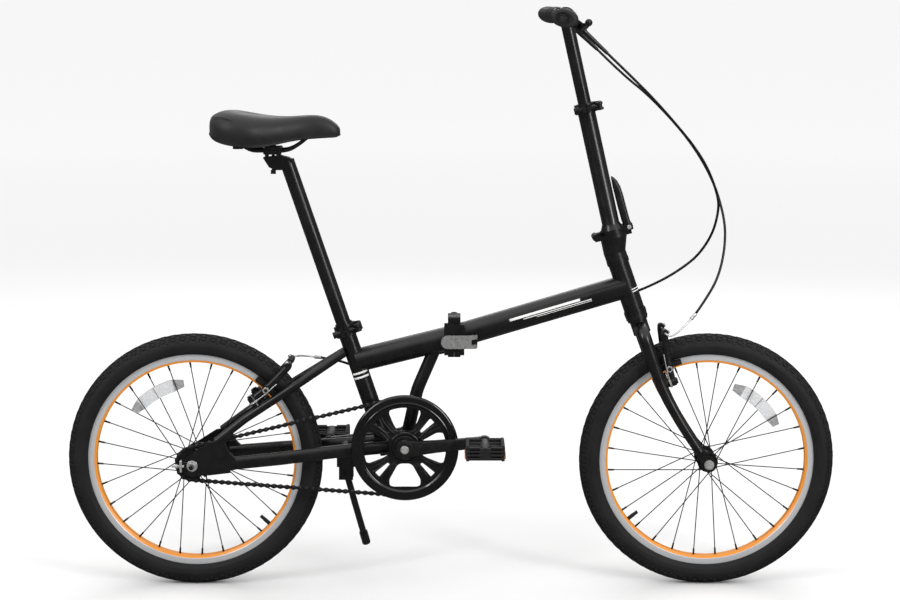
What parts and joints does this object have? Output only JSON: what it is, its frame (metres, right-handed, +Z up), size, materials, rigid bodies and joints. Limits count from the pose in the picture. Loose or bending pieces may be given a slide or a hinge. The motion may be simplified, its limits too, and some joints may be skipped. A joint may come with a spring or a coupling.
{
  "type": "folding bicycle",
  "caption": "Black single-speed folding bicycle with small wheels, rim brakes, a hinged main tube, a folding telescopic handlepost and a long seatpost.",
  "frame": {"origin": "on the ground, midway between the two axles", "axes": "+X forward, +Y to the rider's left, +Z up"},
  "size_m": [1.504, 0.5822, 1.132],
  "materials": {
    "frame_paint": "satin",
    "black_alloy": "satin",
    "gloss_black": "gloss",
    "bare_alloy": "satin",
    "rim_alloy": "satin",
    "steel": "satin",
    "chain_steel": "satin",
    "dark_spokes": "satin",
    "tyre_rubber": "matte",
    "black_rubber": "matte",
    "black_resin": "matte",
    "reflector_lens": "gloss",
    "saddle_cover": "satin"
  },
  "bodies": {
    "rear_frame": {"rear_frame": "frame_paint", "frame_hinge_pin": "black_alloy", "seat_clamp_collar": "black_alloy", "bottom_bracket_cups": "black_alloy", "rear_axle": "steel", "kickstand_bracket": "black_alloy", "chain": "chain_steel"},
    "front_frame": {"front_frame": "frame_paint", "headset_cups": "black_alloy", "rear_brake_cable": "black_rubber"},
    "frame_latch": {"frame_latch_lever": "bare_alloy"},
    "fork": {"fork": "frame_paint", "front_axle": "steel", "handlepost_base": "frame_paint", "front_brake_cable": "black_rubber"},
    "lower_post": {"handlepost_lower": "frame_paint", "handlepost_collar": "black_alloy"},
    "post_latch": {"post_latch": "black_alloy"},
    "upper_post": {"handlepost_upper": "black_alloy", "handlebar": "black_alloy", "grip_left": "black_rubber", "grip_right": "black_rubber", "brake_lever_mounts": "black_alloy"},
    "post_clamp_lever": {"post_clamp_lever": "black_alloy"},
    "brake_lever_left": {"brake_lever_left": "black_alloy"},
    "brake_lever_right": {"brake_lever_right": "black_alloy"},
    "front_arm_left": {"front_brake_arm_left": "black_alloy", "front_brake_pad_left": "black_rubber"},
    "front_arm_right": {"front_brake_arm_right": "black_alloy", "front_brake_pad_right": "black_rubber"},
    "rear_arm_left": {"rear_brake_arm_left": "black_alloy", "rear_brake_pad_left": "black_rubber"},
    "rear_arm_right": {"rear_brake_arm_right": "black_alloy", "rear_brake_pad_right": "black_rubber"},
    "front_wheel": {"front_tyre": "tyre_rubber", "front_rim": "rim_alloy", "front_inner_tube": "black_rubber", "front_spokes": "dark_spokes", "front_hub": "black_alloy", "front_reflector": "reflector_lens"},
    "rear_wheel": {"rear_tyre": "tyre_rubber", "rear_rim": "rim_alloy", "rear_inner_tube": "black_rubber", "rear_spokes": "dark_spokes", "rear_hub": "black_alloy", "rear_reflector": "reflector_lens"},
    "freewheel": {"freewheel": "chain_steel"},
    "crankset": {"chainring": "gloss_black", "chain_guard_disc": "gloss_black", "crank_arm_right": "black_alloy", "crank_arm_left": "black_alloy", "crank_spindle": "steel"},
    "pedal_right": {"pedal_right": "black_resin"},
    "pedal_left": {"pedal_left": "black_resin"},
    "kickstand": {"kickstand": "black_alloy"},
    "seat": {"seatpost": "frame_paint", "saddle_clamp": "black_alloy", "saddle_rails": "black_alloy", "saddle": "saddle_cover"},
    "seat_clamp_lever": {"seat_clamp_lever": "black_alloy"}
  },
  "joints": [
    {"name": "frame_fold", "type": "hinge", "parent": "rear_frame", "child": "front_frame", "pos_m": [0.0064, 0.033, 0.4965], "axis": [0, 0, 1], "range_deg": [0, 135], "deforming": ["rear_brake_cable"]},
    {"name": "frame_latch", "type": "hinge", "parent": "front_frame", "child": "frame_latch", "pos_m": [0.046, -0.033, 0.489], "axis": [0, 0, 1], "range_deg": [0, 125]},
    {"name": "steering", "type": "hinge", "parent": "front_frame", "child": "fork", "pos_m": [0.3428, 0, 0.5893], "axis": [-0.3305, 0, 0.9438], "range_deg": [-60, 60], "deforming": ["rear_brake_cable"]},
    {"name": "post_fold", "type": "hinge", "parent": "fork", "child": "lower_post", "pos_m": [0.27986, 0, 0.68925], "axis": [0, -1, 0], "range_deg": [0, 95], "deforming": ["front_brake_cable", "rear_brake_cable"]},
    {"name": "post_latch", "type": "hinge", "parent": "lower_post", "child": "post_latch", "pos_m": [0.34484, 0, 0.71016], "axis": [0, 1, 0], "range_deg": [0, 110]},
    {"name": "post_height", "type": "slide", "parent": "lower_post", "child": "upper_post", "axis": [-0.2215, 0, 0.9751], "range_m": [-0.09, 0.03], "deforming": ["front_brake_cable", "rear_brake_cable"]},
    {"name": "post_clamp_lever", "type": "hinge", "parent": "lower_post", "child": "post_clamp_lever", "pos_m": [0.28447, -0.027, 0.94426], "axis": [0.2215, 0, -0.9751], "range_deg": [0, 110]},
    {"name": "brake_lever_left", "type": "hinge", "parent": "upper_post", "child": "brake_lever_left", "pos_m": [0.24053, 0.14985, 1.09432], "axis": [0.5952, 0, 0.8036], "range_deg": [0, 8], "stiffness_Nm_per_rad": 3, "springref_deg": -8.59, "deforming": ["front_brake_cable"]},
    {"name": "brake_lever_right", "type": "hinge", "parent": "upper_post", "child": "brake_lever_right", "pos_m": [0.24053, -0.14985, 1.09432], "axis": [-0.5952, 0, -0.8036], "range_deg": [0, 8], "stiffness_Nm_per_rad": 3, "springref_deg": -8.59, "deforming": ["rear_brake_cable"]},
    {"name": "front_arm_left", "type": "hinge", "parent": "fork", "child": "front_arm_left", "pos_m": [0.42867, 0.04, 0.41064], "axis": [0.9438, 0, 0.3305], "range_deg": [0, 3.01]},
    {"name": "front_arm_right", "type": "hinge", "parent": "fork", "child": "front_arm_right", "pos_m": [0.42867, -0.04, 0.41064], "axis": [-0.9438, 0, -0.3305], "range_deg": [0, 3.01]},
    {"name": "rear_arm_left", "type": "hinge", "parent": "rear_frame", "child": "rear_arm_left", "pos_m": [-0.3845, 0.04, 0.374], "axis": [0.5586, 0, -0.8295], "range_deg": [0, 2.41]},
    {"name": "rear_arm_right", "type": "hinge", "parent": "rear_frame", "child": "rear_arm_right", "pos_m": [-0.3845, -0.04, 0.374], "axis": [-0.5586, 0, 0.8295], "range_deg": [0, 2.41]},
    {"name": "front_wheel_spin", "type": "hinge", "parent": "fork", "child": "front_wheel", "pos_m": [0.502, 0, 0.25], "axis": [0, 1, 0], "continuous": true},
    {"name": "rear_wheel_spin", "type": "hinge", "parent": "rear_frame", "child": "rear_wheel", "pos_m": [-0.502, 0, 0.25], "axis": [0, 1, 0], "continuous": true},
    {"name": "crank_spin", "type": "hinge", "parent": "rear_frame", "child": "crankset", "pos_m": [-0.08932, 0, 0.2835], "axis": [0, 1, 0], "continuous": true, "deforming": ["chain"]},
    {"name": "freewheel_spin", "type": "hinge", "parent": "rear_frame", "child": "freewheel", "pos_m": [-0.502, 0, 0.25], "axis": [0, 1, 0], "continuous": true},
    {"name": "pedal_right_spin", "type": "hinge", "parent": "crankset", "child": "pedal_right", "pos_m": [0.06499, -0.134, 0.29809], "axis": [0, 1, 0], "continuous": true},
    {"name": "pedal_left_spin", "type": "hinge", "parent": "crankset", "child": "pedal_left", "pos_m": [-0.24363, 0.134, 0.26891], "axis": [0, 1, 0], "continuous": true},
    {"name": "kickstand_fold", "type": "hinge", "parent": "rear_frame", "child": "kickstand", "pos_m": [-0.208, 0.038, 0.214], "axis": [0, 1, 0], "range_deg": [0, 95]},
    {"name": "seat_height", "type": "slide", "parent": "rear_frame", "child": "seat", "axis": [-0.3196, 0, 0.9475], "range_m": [-0.22, 0.03]},
    {"name": "seat_clamp_lever", "type": "hinge", "parent": "rear_frame", "child": "seat_clamp_lever", "pos_m": [-0.18071, -0.0275, 0.51531], "axis": [0.3196, 0, -0.9475], "range_deg": [0, 110]}
  ],
  "couplings": [
    {"joint": "front_arm_left", "follows": "brake_lever_left", "ratio": 0.375},
    {"joint": "front_arm_right", "follows": "brake_lever_left", "ratio": 0.375},
    {"joint": "rear_arm_left", "follows": "brake_lever_right", "ratio": 0.3},
    {"joint": "rear_arm_right", "follows": "brake_lever_right", "ratio": 0.3},
    {"joint": "freewheel_spin", "follows": "crank_spin", "ratio": 3}
  ]
}
